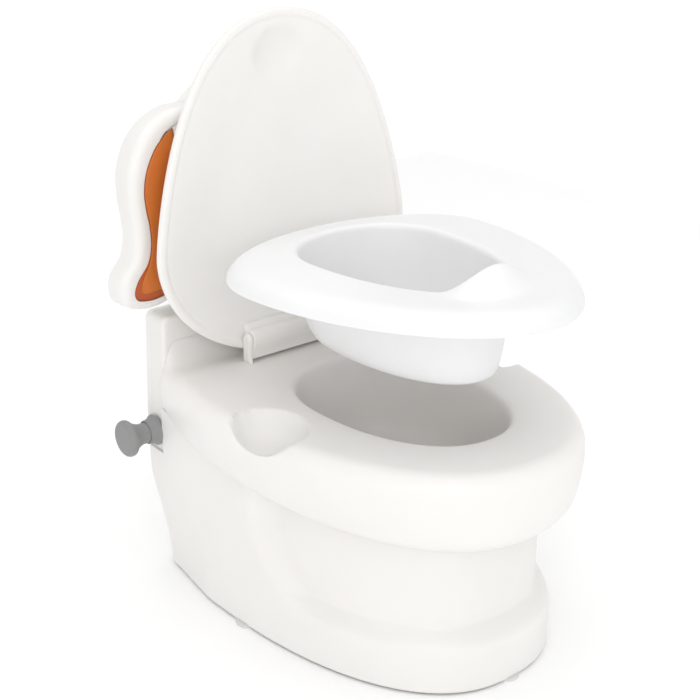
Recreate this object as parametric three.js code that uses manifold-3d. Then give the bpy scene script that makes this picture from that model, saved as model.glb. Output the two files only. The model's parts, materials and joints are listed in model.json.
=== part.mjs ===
// Potty training chair shaped like a small toilet: a pedestal and a seat with a well, a thin tank with a
// head panel and two ears, a hinged lid, a lift-out bowl and a push knob on the tank's side.
// Millimetres, +Z up, the front towards -Y. The origin is on the floor, half way from front to rear.
// The lid stands open and the bowl is lifted clear of the seat.
import * as THREE from "three";
import { mergeVertices } from "three/addons/utils/BufferGeometryUtils.js";
import Module from "manifold-3d";

const wasm = await Module();
wasm.setup();

// ---------------------------------------------------------------- driving dimensions
const SEAT_HEIGHT = 220;
const WALL = 3;
const GAP = 0.3;
const REAR_FACE = 200;

const FOOT = { height: 3, radius: 11, inset: 8 };

const PLINTH = {
  halfWidth: 136.4,
  centreY: 96,
  front: 271.6,
  frontPower: 2.4,
  rearY: 198,
  taperPower: 1,
  rearHalfWidthLow: 121,
  rearHalfWidthHigh: 134,
  cornerLow: 32,
  cornerHigh: 6,
  taperHeight: 120,
};
const SKIRT_TOP = 46;
const LEDGE_RISE = 16;
const COLUMN_RECESS = 16;
const CREASE = { topY: 16, topZ: 122, lowY: -30, lowZ: 55, blend: 22 };

const SEAT = {
  halfWidth: 154,
  centreY: 62,
  front: 262,
  frontPower: 2.22,
  rearY: 168,
  rearHalfWidth: 136.5,
  taperPower: 1.35,
  corner: 6,
};
const COLLAR_LOW = 144;
const COLLAR_SLOPE = 0.04;
const HOLE = { halfWidth: 76.2, centreY: -5.4, front: 126.5, rear: 87, frontPower: 2.22, rearPower: 2.22 };
const WELL_FLOOR = 134;
const SCOOP = { x: 131, y: -6, z: 221, halfX: 30, halfY: 45, halfZ: 26 };
const COVE = { run: 18, rise: 23, halfWidth: 126 };

const TANK = { front: 168.3, low: 131, top: 268, halfWidthLow: 132.5, halfWidthTop: 127.5, corner: 7 };
const BACK_COVER = 9;
const HEAD = { front: 168, low: 268.6, top: 486, halfWidth: 100, shoulder: 395, power: 2.6 };
const EAR = { front: 170, bevel: 5, inlayDepth: 7, inlayThickness: 3 };

const FLANGE = { halfWidth: 143.2, centreY: 12.6, front: 210.6, rear: 103.4, frontPower: 1.86, rearPower: 2.1 };
const FLANGE_RISE = 16;
const FLANGE_RISE_REAR = 14;
const INSERT_WALL = 2.5;
const MOUTH = { halfWidth: 73.4, centreY: 11, front: 138.8, rear: 62.9, frontPower: 2.1, rearPower: 2.1 };
const BOWL_FLOOR = { halfWidth: 51.4, centreY: -20.8, front: 99, rear: 91.2, frontPower: 2.1, rearPower: 2.1 };
const BOWL_DEPTH = 84;
const INSERT_LIFT = 115;
const GUARD = { y: -126, halfX: 50, halfY: 34, height: 21 };

const LID_TILT = THREE.MathUtils.degToRad(2.69);
const LID_FOOT = { y: 132.2, z: 217.2 };
const LID = { halfWidth: 146, widestAt: 115, lower: 110.6, upper: 209.7, lowPower: 2, sidePower: 1.44, tipPower: 2.07 };
const LID_DISH = 14;
const LID_WALL = 3;
const GRIP = { u: 285, halfX: 29, halfU: 25, depth: 8 };
const HINGE = { y: 127, z: 243, barrel: 8.5, pin: 3, eye: 5.8, knuckleHalf: 58, cheek: 4 };

const KNOB = { y: 182, z: 151, face: 170, disc: 18, collar: 16.5, neck: 10.2, shaft: 4, travel: 5 };

const FRONT_STEPS = 30;
const SIDE_STEPS = 4;
const CORNER_STEPS = 3;
const OVAL_STEPS = 44;
const INSERT_STEPS = 60;

// ---------------------------------------------------------------- colours
const paint = (color, roughness, metalness = 0) => new THREE.MeshStandardMaterial({ color, roughness, metalness });
const MATERIALS = {
  body: paint(0xf1eee9, 0.38),
  insert: paint(0xf4f4f7, 0.2),
  orange: paint(0xcf7526, 0.5),
  knob: paint(0x8f8f8f, 0.45),
  rubber: paint(0x55555a, 0.9),
  steel: paint(0xb8bbc0, 0.3, 1),
  dark: paint(0x2b2d30, 0.6),
  board: paint(0x2f6b45, 0.6),
};

// ---------------------------------------------------------------- solids and meshes
const smoothstep = (low, high, x) => THREE.MathUtils.smoothstep(x, low, high);
const mix = (a, b, t) => a + (b - a) * t;

function solid(geometry) {
  geometry.deleteAttribute("normal");
  geometry.deleteAttribute("uv");
  const merged = mergeVertices(geometry, 1e-3);
  const build = (triVerts) =>
    new wasm.Manifold(new wasm.Mesh({ numProp: 3, vertProperties: merged.attributes.position.array, triVerts }));
  const made = build(new Uint32Array(merged.index.array));
  return made.volume() > 0 ? made : build(new Uint32Array(merged.index.array).reverse());
}

function geometryOf(manifold) {
  const mesh = manifold.getMesh();
  const geometry = new THREE.BufferGeometry();
  geometry.setAttribute("position", new THREE.BufferAttribute(new Float32Array(mesh.vertProperties), 3));
  geometry.setIndex(new THREE.BufferAttribute(new Uint32Array(mesh.triVerts), 1));
  geometry.computeVertexNormals();
  return geometry;
}

const union = (first, ...rest) => rest.reduce((sum, next) => sum.add(next), first);
const cut = (first, ...rest) => rest.reduce((sum, next) => sum.subtract(next), first);

// A skin through closed sections of equal point count. A section that is a single point closes that end;
// an end left open is capped with a fan around its middle.
function loft(sections) {
  const positions = [];
  const faces = [];
  const add = (p) => positions.push(p.x, p.y, p.z) / 3 - 1;
  const middle = (ring) => ring.reduce((sum, p) => sum.add(p), new THREE.Vector3()).divideScalar(ring.length);
  const rings = sections.filter(Array.isArray);
  const starts = rings.map((ring) => ring.map(add)[0]);
  const count = rings[0].length;
  for (let k = 1; k < rings.length; k++) {
    for (let i = 0; i < count; i++) {
      const j = (i + 1) % count;
      const [a, b] = [starts[k - 1], starts[k]];
      faces.push(a + i, a + j, b + j, a + i, b + j, b + i);
    }
  }
  const close = (ring, start, apex, reversed) => {
    const tip = add(apex ?? middle(ring));
    for (let i = 0; i < count; i++) {
      const j = (i + 1) % count;
      faces.push(tip, start + (reversed ? i : j), start + (reversed ? j : i));
    }
  };
  const [first, last] = [sections[0], sections[sections.length - 1]];
  close(rings[0], starts[0], Array.isArray(first) ? null : first, false);
  close(rings[rings.length - 1], starts[starts.length - 1], Array.isArray(last) ? null : last, true);
  const geometry = new THREE.BufferGeometry();
  geometry.setAttribute("position", new THREE.Float32BufferAttribute(positions, 3));
  geometry.setIndex(faces);
  return solid(geometry);
}

function box(x, y, z, centreX, centreY, centreZ) {
  return solid(new THREE.BoxGeometry(x, y, z).translate(centreX, centreY, centreZ));
}

// A cylinder along an axis ("x", "y" or "z") from one coordinate to another.
function rod(axis, radius, from, to, u, v, segments = 24) {
  const geometry = new THREE.CylinderGeometry(radius, radius, Math.abs(to - from), segments);
  const mid = (from + to) / 2;
  if (axis === "x") geometry.rotateZ(Math.PI / 2).translate(mid, u, v);
  if (axis === "y") geometry.translate(u, mid, v);
  if (axis === "z") geometry.rotateX(Math.PI / 2).translate(u, v, mid);
  return solid(geometry);
}

// A flat outline drawn in X and Z, extruded along Y from front to rear.
function plate(shape, front, rear, options = {}) {
  const geometry = new THREE.ExtrudeGeometry(shape, { depth: rear - front, bevelEnabled: false, curveSegments: 6, ...options });
  return solid(geometry.rotateX(Math.PI / 2).translate(0, rear, 0));
}

// A profile drawn in Y and Z, extruded along X from its start.
function alongX(profile, start, length) {
  const geometry = new THREE.ExtrudeGeometry(profile, { depth: length, bevelEnabled: false, curveSegments: 6 });
  return solid(geometry.applyMatrix4(new THREE.Matrix4().set(0, 0, 1, start, 1, 0, 0, 0, 0, 1, 0, 0, 0, 0, 0, 1)));
}

const ellipsoid = (x, y, z, rx, ry, rz) =>
  solid(new THREE.SphereGeometry(1, 20, 12).scale(rx, ry, rz).translate(x, y, z));

const root = new THREE.Group();
function addMesh(name, material, manifold) {
  const mesh = new THREE.Mesh(geometryOf(manifold), MATERIALS[material]);
  mesh.name = name;
  root.add(mesh);
}

// ---------------------------------------------------------------- outlines seen from above
const superPoint = (angle, a, b, power) => [
  a * Math.sign(Math.cos(angle)) * Math.abs(Math.cos(angle)) ** (2 / power),
  b * Math.abs(Math.sin(angle)) ** (2 / power),
];

// A body outline: a superellipse in front, straight tapering sides and a flat rear with round corners.
// The rear stays where it is when the outline is inset.
function bodyOutline(plan, inset = 0) {
  const points = [];
  const a = plan.halfWidth - inset;
  for (let i = 0; i <= FRONT_STEPS; i++) {
    const [x, y] = superPoint((Math.PI * i) / FRONT_STEPS, a, plan.front - inset, plan.frontPower);
    points.push([x, plan.centreY - y]);
  }
  const length = plan.rearY - plan.centreY;
  const halfWidthAt = (y) =>
    a - (plan.halfWidth - plan.rearHalfWidth) * ((y - plan.centreY) / length) ** plan.taperPower;
  const cornerY = plan.rearY - plan.corner;
  const side = [];
  for (let i = 1; i <= SIDE_STEPS; i++) {
    const y = mix(plan.centreY, cornerY, i / SIDE_STEPS);
    side.push([halfWidthAt(y), y]);
  }
  const cornerX = halfWidthAt(cornerY) - plan.corner;
  for (let i = 1; i <= CORNER_STEPS; i++) {
    const angle = (Math.PI / 2) * (i / CORNER_STEPS);
    side.push([cornerX + plan.corner * Math.cos(angle), cornerY + plan.corner * Math.sin(angle)]);
  }
  points.push(...side.map(([x, y]) => [-x, y]), ...side.reverse());
  return points;
}

// An oval outline with its own superellipse in front and behind; offset grows it.
function ovalOutline(plan, offset = 0, steps = OVAL_STEPS) {
  return Array.from({ length: steps }, (_, i) => {
    const angle = (2 * Math.PI * i) / steps;
    const ahead = Math.sin(angle) > 0;
    const reach = (ahead ? plan.front : plan.rear) + offset;
    const [x, y] = superPoint(angle, plan.halfWidth + offset, reach, ahead ? plan.frontPower : plan.rearPower);
    return [x, plan.centreY + (ahead ? -y : y)];
  });
}

const at = (outline, z) => outline.map(([x, y]) => new THREE.Vector3(x, y, typeof z === "function" ? z(x, y) : z));
const blend = (one, other, t) => one.map(([x, y], i) => [mix(x, other[i][0], t), mix(y, other[i][1], t)]);

// ---------------------------------------------------------------- pedestal
const collarLow = (y) => COLLAR_LOW + COLLAR_SLOPE * (y + REAR_FACE);

function plinthPlan(z, wall) {
  const t = smoothstep(0, PLINTH.taperHeight, z);
  return {
    ...PLINTH,
    rearHalfWidth: mix(PLINTH.rearHalfWidthLow, PLINTH.rearHalfWidthHigh, t),
    corner: mix(PLINTH.cornerLow, PLINTH.cornerHigh, t),
    rearY: PLINTH.rearY - wall,
  };
}

// How far the front column stands behind the plinth's outline: nothing below the ledge and behind the crease.
function columnRecess(y, z) {
  const rise = smoothstep(SKIRT_TOP, SKIRT_TOP + LEDGE_RISE, z);
  const down = THREE.MathUtils.clamp((CREASE.topZ - z) / (CREASE.topZ - CREASE.lowZ), 0, 1);
  const creaseY = mix(CREASE.topY, CREASE.lowY, down ** 1.6);
  return COLUMN_RECESS * rise * (1 - smoothstep(creaseY - CREASE.blend, creaseY + CREASE.blend, y));
}

function pedestalSection(z, wall, top) {
  const plan = plinthPlan(z, wall);
  const outer = bodyOutline(plan, wall);
  const points = outer.map(([x, y]) => {
    const length = Math.hypot(x, y - plan.centreY);
    const share = Math.max(0, 1 - columnRecess(y, z) / length);
    return [x * share, y < plan.centreY ? mix(plan.centreY, y, share) : y];
  });
  return at(points, top ?? z);
}

function basePart() {
  const low = FOOT.height + GAP;
  const levels = [low, 30, SKIRT_TOP, 50, 54, 58, SKIRT_TOP + LEDGE_RISE, 72, 84, 98, 112, 128];
  const outer = loft([
    ...levels.map((z) => pedestalSection(z, 0)),
    pedestalSection(COLLAR_LOW, 0, (x, y) => collarLow(y) - GAP),
  ]);
  const inner = loft([
    ...levels.map((z) => pedestalSection(z === low ? 0 : z, WALL, z === low ? 0 : z)),
    pedestalSection(COLLAR_LOW, WALL, (x, y) => collarLow(y) - GAP - WALL),
  ]);
  const wellOpening = loft([at(ovalOutline(HOLE, 10), 120), at(ovalOutline(HOLE, 10), 180)]);
  const tankPocket = box(400, 100, 100, 0, TANK.front - GAP + 50, TANK.low - GAP + 50);
  const collarRoom = rod("x", KNOB.collar + 0.5, -160, -TANK.halfWidthLow, KNOB.y, KNOB.z, 32);
  const shell = cut(outer, inner, wellOpening, tankPocket, collarRoom);
  const bosses = footPlaces().map(([x, y]) => rod("z", FOOT.radius - 1, low, 24, x, y, 16).intersect(outer));
  return union(shell, ...bosses);
}

// Feet: one at the front, one on each side and one at each rear corner.
function footPlaces() {
  const plan = plinthPlan(0, 0);
  const halfWidth = PLINTH.halfWidth - FOOT.inset;
  const rear = plan.rearHalfWidth - plan.corner / 2 - FOOT.inset;
  return [
    [0, PLINTH.centreY - PLINTH.front + FOOT.inset],
    [-halfWidth, 44],
    [halfWidth, 44],
    [-rear, PLINTH.rearY - FOOT.inset - 6],
    [rear, PLINTH.rearY - FOOT.inset - 6],
  ];
}

// ---------------------------------------------------------------- seat with its well, scoops and cove
const seatPlan = (wall) => ({ ...SEAT, rearY: SEAT.rearY - wall });

function wellSolid(offset, floor) {
  return loft([
    at(ovalOutline(HOLE, offset - 26), floor),
    at(ovalOutline(HOLE, offset - 12), floor + 3),
    at(ovalOutline(HOLE, offset - 4), floor + 14),
    at(ovalOutline(HOLE, offset - 1), floor + 40),
    at(ovalOutline(HOLE, offset), SEAT_HEIGHT - 8),
    at(ovalOutline(HOLE, offset + 1.5), SEAT_HEIGHT - 2),
    at(ovalOutline(HOLE, offset + 5), SEAT_HEIGHT + 0.2),
    at(ovalOutline(HOLE, offset + 5), SEAT_HEIGHT + 30),
  ]);
}

function seatPart() {
  const low = (inset) => (x, y) => collarLow(y) + inset;
  const outer = loft([
    at(bodyOutline(SEAT, 22), low(0)),
    at(bodyOutline(SEAT, 15), low(1.5)),
    at(bodyOutline(SEAT, 8), low(9)),
    at(bodyOutline(SEAT, 3), low(22)),
    at(bodyOutline(SEAT, 0), 200),
    at(bodyOutline(SEAT, 1), 209),
    at(bodyOutline(SEAT, 3), 215),
    at(bodyOutline(SEAT, 6), 218.7),
    at(bodyOutline(SEAT, 11), SEAT_HEIGHT),
  ]);
  const plan = seatPlan(WALL);
  const inside = loft([
    at(bodyOutline(plan, 22 + WALL), low(-10)),
    at(bodyOutline(plan, 22 + WALL), low(2)),
    at(bodyOutline(plan, 8 + WALL), low(11)),
    at(bodyOutline(plan, 3 + WALL), low(22)),
    at(bodyOutline(plan, WALL), 200),
    at(bodyOutline(plan, 3 + WALL), 213),
    at(bodyOutline(plan, 9 + WALL), SEAT_HEIGHT - WALL),
  ]);
  const scoops = (extra) =>
    [-1, 1].map((side) =>
      ellipsoid(side * SCOOP.x, SCOOP.y, SCOOP.z, SCOOP.halfX + extra, SCOOP.halfY + extra, SCOOP.halfZ + extra),
    );
  const cavity = cut(inside, wellSolid(WALL, WELL_FLOOR - WALL), ...scoops(WALL));
  const hollow = cut(outer, cavity, wellSolid(0, WELL_FLOOR), ...scoops(0));
  const wellCup = cut(wellSolid(WALL, WELL_FLOOR - WALL), wellSolid(0, WELL_FLOOR)).intersect(
    box(400, 400, SEAT_HEIGHT - 10 - 100, 0, 0, (SEAT_HEIGHT - 10 + 100) / 2),
  );
  const cheeks = [-1, 1].map((side) => hingeCheek(side));
  return cut(union(hollow, wellCup, cove(), ...cheeks), hingeBore());
}

// The deck runs up into the tank's face in a concave quarter round.
function cove() {
  const rear = SEAT.rearY;
  const low = SEAT_HEIGHT - 2;
  const profile = new THREE.Shape();
  profile.moveTo(rear - COVE.run, low);
  profile.lineTo(rear, low);
  profile.lineTo(rear, SEAT_HEIGHT + COVE.rise);
  for (let i = 1; i <= 6; i++) {
    const angle = (Math.PI / 2) * (i / 6);
    profile.lineTo(
      rear - COVE.run * (1 - Math.cos(angle)) - 0.5,
      SEAT_HEIGHT + COVE.rise * (1 - Math.sin(angle)),
    );
  }
  return alongX(profile, -COVE.halfWidth, 2 * COVE.halfWidth);
}

// ---------------------------------------------------------------- hinge
const CHEEK_INNER = HINGE.knuckleHalf + 0.6;
const CHEEK_OUTER = CHEEK_INNER + HINGE.cheek;

// A cheek is an eye round the pin with a fuller front that runs down into the deck, like the knuckle's.
function hingeCheek(side) {
  const profile = new THREE.Shape();
  const front = HINGE.y - HINGE.barrel;
  profile.moveTo(HINGE.y + HINGE.eye, SEAT_HEIGHT - 1);
  profile.lineTo(HINGE.y + HINGE.eye, HINGE.z);
  profile.absarc(HINGE.y, HINGE.z, HINGE.eye, 0, Math.PI / 2, false);
  profile.quadraticCurveTo(front, HINGE.z + HINGE.eye, front, HINGE.z - 1);
  profile.lineTo(front + 1, SEAT_HEIGHT + 8);
  profile.quadraticCurveTo(front + 1, SEAT_HEIGHT, front - 4, SEAT_HEIGHT - 1);
  const inner = side > 0 ? CHEEK_INNER : -CHEEK_OUTER;
  return alongX(profile, inner, HINGE.cheek);
}

const PIN_END = CHEEK_OUTER - 1.2;
const hingeBore = () => rod("x", HINGE.pin + 0.1, -PIN_END - 0.2, PIN_END + 0.2, HINGE.y, HINGE.z, 20);

const hingePin = (side) =>
  rod("x", HINGE.pin, side * (HINGE.knuckleHalf - 12), side * PIN_END, HINGE.y, HINGE.z, 20);

// ---------------------------------------------------------------- lid
// Lid coordinates: x across, u up along the underside, w back from the plane of its rim.
function lidPoint(x, u, w) {
  const [sine, cosine] = [Math.sin(LID_TILT), Math.cos(LID_TILT)];
  return new THREE.Vector3(x, LID_FOOT.y + u * sine + w * cosine, LID_FOOT.z + u * cosine - w * sine);
}

function lidRing(inset, w) {
  return Array.from({ length: OVAL_STEPS }, (_, i) => {
    const angle = (2 * Math.PI * i) / OVAL_STEPS;
    const below = Math.sin(angle) > 0;
    const reach = (below ? LID.lower : LID.upper) - inset;
    const power = below ? LID.lowPower : mix(LID.sidePower, LID.tipPower, Math.abs(Math.sin(angle)));
    const [x, u] = superPoint(angle, LID.halfWidth - inset, reach, power);
    return lidPoint(x, LID.widestAt + (below ? -u : u), w);
  });
}

function lidPart() {
  const back = LID_DISH + LID_WALL;
  const shell = loft([
    lidPoint(0, LID.widestAt, LID_DISH),
    lidRing(70, LID_DISH),
    lidRing(22, LID_DISH - 0.5),
    lidRing(15, LID_DISH - 3.5),
    lidRing(11, LID_DISH - 8.5),
    lidRing(8, 1),
    lidRing(6.5, 0),
    lidRing(1.5, 0),
    lidRing(0, 1.5),
    lidRing(0, 5),
    lidRing(3, 9.5),
    lidRing(9, 14),
    lidRing(18, back - 0.5),
    lidRing(30, back),
    lidPoint(0, LID.widestAt, back),
  ]);
  const knuckle = lidKnuckle();
  const pocket = (extra) => {
    const shape = new THREE.SphereGeometry(1, 20, 12);
    shape.scale(GRIP.halfX + extra, GRIP.depth + extra, GRIP.halfU + extra).rotateX(-LID_TILT);
    const centre = lidPoint(0, GRIP.u, LID_DISH - 2);
    return solid(shape.translate(centre.x, centre.y, centre.z));
  };
  const behind = box(120, 40, 120, 0, 0, 0).translate(lidPoint(0, GRIP.u, LID_DISH + 21).toArray());
  const bump = pocket(LID_WALL).intersect(behind);
  return cut(union(shell, knuckle, bump), pocket(0), hingeBore().intersect(pinWindow()));
}

// The bore runs only through the knuckle's two ends.
const pinWindow = () =>
  union(
    box(16, 40, 40, -HINGE.knuckleHalf + 5, HINGE.y, HINGE.z),
    box(16, 40, 40, HINGE.knuckleHalf - 5, HINGE.y, HINGE.z),
  );

function lidKnuckle() {
  const profile = new THREE.Shape();
  const foot = lidPoint(0, 9, 0);
  const footBack = lidPoint(0, 20, LID_DISH + 0.8);
  const topBack = lidPoint(0, 38, LID_DISH + 0.8);
  const top = lidPoint(0, 36, 0);
  profile.moveTo(foot.y, foot.z);
  profile.lineTo(footBack.y, footBack.z);
  profile.lineTo(topBack.y, topBack.z);
  profile.lineTo(top.y, top.z);
  for (let i = 0; i <= 10; i++) {
    const angle = Math.PI * (0.38 + (0.72 * i) / 10);
    profile.lineTo(HINGE.y + HINGE.barrel * Math.cos(angle), HINGE.z + HINGE.barrel * Math.sin(angle));
  }
  const deck = SEAT_HEIGHT + 1.6;
  profile.quadraticCurveTo(HINGE.y - 6.5, deck, HINGE.y - 1.5, deck);
  profile.lineTo(foot.y - 1.5, deck);
  return alongX(profile, -HINGE.knuckleHalf, 2 * HINGE.knuckleHalf);
}

// ---------------------------------------------------------------- lift-out bowl
const insertBase = SEAT_HEIGHT + GAP + INSERT_LIFT;
const flangeRise = (y) => mix(FLANGE_RISE, FLANGE_RISE_REAR, smoothstep(30, 110, y));

// The splash guard is a smooth hill at the front of the bowl's mouth.
function guardRise(x, y) {
  const reach = Math.min(1, Math.hypot(x / GUARD.halfX, (y - GUARD.y) / GUARD.halfY));
  return GUARD.height * Math.cos((Math.PI / 2) * reach) ** 2;
}

function bowlOutline(depth, offset) {
  const t = depth / BOWL_DEPTH;
  const share = 0.25 * t + 0.75 * (1 - Math.sqrt(1 - t ** 3));
  return blend(ovalOutline(MOUTH, offset, INSERT_STEPS), ovalOutline(BOWL_FLOOR, offset, INSERT_STEPS), share);
}

function insertPart() {
  const top = insertBase + FLANGE_RISE;
  const oval = (plan, offset) => ovalOutline(plan, offset, INSERT_STEPS);
  const rim = (inset, drop) =>
    at(oval(FLANGE, -inset), (x, y) => insertBase + flangeRise(y) - drop + guardRise(x, y));
  const skirt = (inset, rise) => at(oval(FLANGE, -inset), insertBase + rise);
  const mouth = (offset, z) => at(oval(MOUTH, offset), (x, y) => z + guardRise(x, y));
  const wall = (depth, offset) => at(bowlOutline(depth, offset), top - depth);
  const depths = [80, 72, 58, 40, 24, 12];
  return loft([
    new THREE.Vector3(0, BOWL_FLOOR.centreY, top - BOWL_DEPTH),
    at(oval(BOWL_FLOOR, -12), top - BOWL_DEPTH),
    ...[83, ...depths].map((depth) => wall(depth, 0)),
    mouth(0.8, top - 1.5),
    mouth(3, top),
    mouth(14, top + 0.4),
    rim(34, -0.4),
    rim(18, 0),
    rim(12, 1.4),
    rim(6.5, 4.6),
    rim(2.5, 9),
    skirt(0.4, 3),
    skirt(0, 0),
    skirt(INSERT_WALL, 0),
    skirt(INSERT_WALL + 0.6, 3),
    rim(5.5, 10),
    rim(9.5, 6),
    rim(17, INSERT_WALL),
    mouth(15, top + 0.4 - INSERT_WALL),
    mouth(5.5, top - INSERT_WALL),
    ...[...depths].reverse().map((depth) => wall(depth, INSERT_WALL)),
    at(bowlOutline(83, INSERT_WALL - 0.5), top - 83 - 1.2),
    at(oval(BOWL_FLOOR, -12), top - BOWL_DEPTH - INSERT_WALL),
    new THREE.Vector3(0, BOWL_FLOOR.centreY, top - BOWL_DEPTH - INSERT_WALL),
  ]);
}

// ---------------------------------------------------------------- tank
function tankShape(inset, low, top) {
  const halfWidthAt = (z) => mix(TANK.halfWidthLow, TANK.halfWidthTop, (z - TANK.low) / (TANK.top - TANK.low)) - inset;
  const r = TANK.corner - inset / 2;
  const shape = new THREE.Shape();
  shape.moveTo(-halfWidthAt(low), low + inset);
  shape.lineTo(halfWidthAt(low), low + inset);
  shape.lineTo(halfWidthAt(top - r), top - inset - r);
  shape.quadraticCurveTo(halfWidthAt(top), top - inset, halfWidthAt(top) - r, top - inset);
  shape.lineTo(-halfWidthAt(top) + r, top - inset);
  shape.quadraticCurveTo(-halfWidthAt(top), top - inset, -halfWidthAt(top - r), top - inset - r);
  return shape;
}

const BACK_FRONT = REAR_FACE - BACK_COVER;
const SCREWS = [
  { name: "tank_screw", x: 86, zs: [144, 254] },
  { name: "head_screw", x: 72, zs: [292, 430] },
];
const eachScrew = (group, make) =>
  group.zs.flatMap((z, row) => [-1, 1].map((side) => make(side * group.x, z, `${row ? "upper" : "lower"}_${side < 0 ? "left" : "right"}`)));

const screwBoss = (front) => (x, z) => cut(rod("y", 5, front, BACK_FRONT - GAP, x, z, 16), rod("y", 1.9, front + 5, BACK_FRONT, x, z, 12));
const screwHole = (x, z) => union(rod("y", 1.9, BACK_FRONT - 1, REAR_FACE, x, z, 12), rod("y", 4.2, REAR_FACE - 4, REAR_FACE + 1, x, z, 16));
const screwPart = (x, z) => union(rod("y", 1.6, BACK_FRONT - 8, REAR_FACE - 3, x, z, 12), rod("y", 3.8, REAR_FACE - 3.7, REAR_FACE - 1.4, x, z, 16));

const DOOR = { z: 200, halfX: 38, halfZ: 27, thickness: 2.4 };
const SPEAKER = { x: 78, z: 200, radius: 18 };

function tankFrontPart() {
  const outer = plate(tankShape(0, TANK.low, TANK.top), TANK.front, BACK_FRONT - GAP);
  const inner = plate(tankShape(WALL, TANK.low, TANK.top), TANK.front + WALL, REAR_FACE);
  const bosses = eachScrew(SCREWS[0], screwBoss(TANK.front + 1));
  const shaftHole = rod("x", KNOB.shaft + 0.5, -200, -100, KNOB.y, KNOB.z, 20);
  return cut(union(cut(outer, inner), ...bosses), shaftHole);
}

function tankBackPart() {
  const outer = plate(tankShape(0, TANK.low, TANK.top), BACK_FRONT, REAR_FACE);
  const inner = plate(tankShape(WALL, TANK.low, TANK.top), BACK_FRONT - 10, REAR_FACE - WALL);
  const bosses = eachScrew(SCREWS[0], (x, z) => rod("y", 7, BACK_FRONT, REAR_FACE - 1, x, z, 16));
  const holes = eachScrew(SCREWS[0], screwHole);
  const doorway = box(2 * DOOR.halfX, 20, 2 * DOOR.halfZ, 0, REAR_FACE, DOOR.z);
  const grille = [rod("y", 2.5, REAR_FACE - 9, REAR_FACE + 1, SPEAKER.x, SPEAKER.z, 10)];
  for (let i = 0; i < 6; i++) {
    const angle = (Math.PI / 3) * i;
    const [x, z] = [SPEAKER.x + 9 * Math.cos(angle), SPEAKER.z + 9 * Math.sin(angle)];
    grille.push(rod("y", 2.5, REAR_FACE - 9, REAR_FACE + 1, x, z, 10));
  }
  return cut(union(cut(outer, inner), ...bosses), ...holes, doorway, ...grille);
}

// ---------------------------------------------------------------- sound unit inside the tank
function soundUnit() {
  const [rear, front] = [BACK_FRONT + 5, TANK.front + WALL + 1];
  const [halfX, halfZ] = [DOOR.halfX + 4, DOOR.halfZ + 4];
  const outer = box(2 * halfX, rear - front, 2 * halfZ, 0, (rear + front) / 2, DOOR.z);
  const inner = box(2 * halfX - 4, rear - front, 2 * halfZ - 4, 0, (rear + front) / 2 + 2, DOOR.z);
  addMesh("sound_unit_case", "dark", cut(outer, inner));
  addMesh("circuit_board", "board", box(70, 1.6, 52, 0, front + 4.5, DOOR.z));
  for (const [name, dz] of [["cell_lower", -9], ["cell_upper", 9]])
    addMesh(name, "steel", union(
      rod("x", 7.2, -25, 24, front + 14.5, DOOR.z + dz, 20),
      rod("x", 2.7, 24, 25.3, front + 14.5, DOOR.z + dz, 12),
    ));
  const cone = rod("y", SPEAKER.radius, REAR_FACE - 15, REAR_FACE - 12, SPEAKER.x, SPEAKER.z, 28);
  const magnet = rod("y", 9, REAR_FACE - 20, REAR_FACE - 14, SPEAKER.x, SPEAKER.z, 20);
  addMesh("speaker", "dark", union(cone, magnet));
  addMesh("battery_door", "body", box(2 * DOOR.halfX - 0.8, DOOR.thickness, 2 * DOOR.halfZ - 0.8, 0, REAR_FACE - GAP - DOOR.thickness / 2, DOOR.z));
  const switchBody = box(7, 10, 12, -101, KNOB.y, KNOB.z);
  const plunger = rod("x", 1.8, -108, -104, KNOB.y, KNOB.z, 12);
  addMesh("press_switch", "dark", union(switchBody, plunger));
}

// ---------------------------------------------------------------- head panel and ears
function headShape(inset) {
  const shape = new THREE.Shape();
  const [a, b] = [HEAD.halfWidth - inset, HEAD.top - HEAD.shoulder - inset];
  shape.moveTo(-a, HEAD.low + inset);
  shape.lineTo(a, HEAD.low + inset);
  for (let i = 0; i <= 20; i++) {
    const [x, z] = superPoint((Math.PI * i) / 20, a, b, HEAD.power);
    shape.lineTo(x, HEAD.shoulder + z);
  }
  return shape;
}

function headParts() {
  const outer = plate(headShape(0), HEAD.front, BACK_FRONT - GAP);
  const inner = plate(headShape(WALL), HEAD.front + WALL, REAR_FACE);
  const bosses = eachScrew(SCREWS[1], screwBoss(HEAD.front + 1));
  addMesh("head_panel", "body", union(cut(outer, inner), ...bosses));
  const cover = plate(headShape(0), BACK_FRONT, REAR_FACE);
  const hollow = plate(headShape(WALL), BACK_FRONT - 10, REAR_FACE - WALL);
  const posts = eachScrew(SCREWS[1], (x, z) => rod("y", 7, BACK_FRONT, REAR_FACE - 1, x, z, 16));
  addMesh("head_back_cover", "body", cut(union(cut(cover, hollow), ...posts), ...eachScrew(SCREWS[1], screwHole)));
}

// A drooping ear, as points (x, z) from its root at the top, down the outer edge and back up beside the head.
const EAR_OUTLINE = [
  [76, 451], [91, 455], [104.4, 453.6], [123.1, 444.7], [138.1, 428.7], [146.4, 405.7], [147, 382.9],
  [143.2, 350.6], [147.6, 326.3], [160.3, 308.6], [159.5, 290.3], [140.5, 283.6], [118.6, 286.4],
  [98, 300], [92, 350], [84, 410],
];
const EAR_POCKET = [
  [108.5, 441], [120.8, 432], [129.9, 419], [136, 404], [138.3, 388], [136.9, 371.5], [134.4, 357.4],
  [134, 339], [138.3, 323.5], [150.3, 307.7], [153.6, 295], [145.4, 287.6], [131, 287.2], [114, 293],
  [108, 306], [106.5, 345], [106.5, 400],
];
const EAR_POCKET_MIDDLE = [121, 368];

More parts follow.
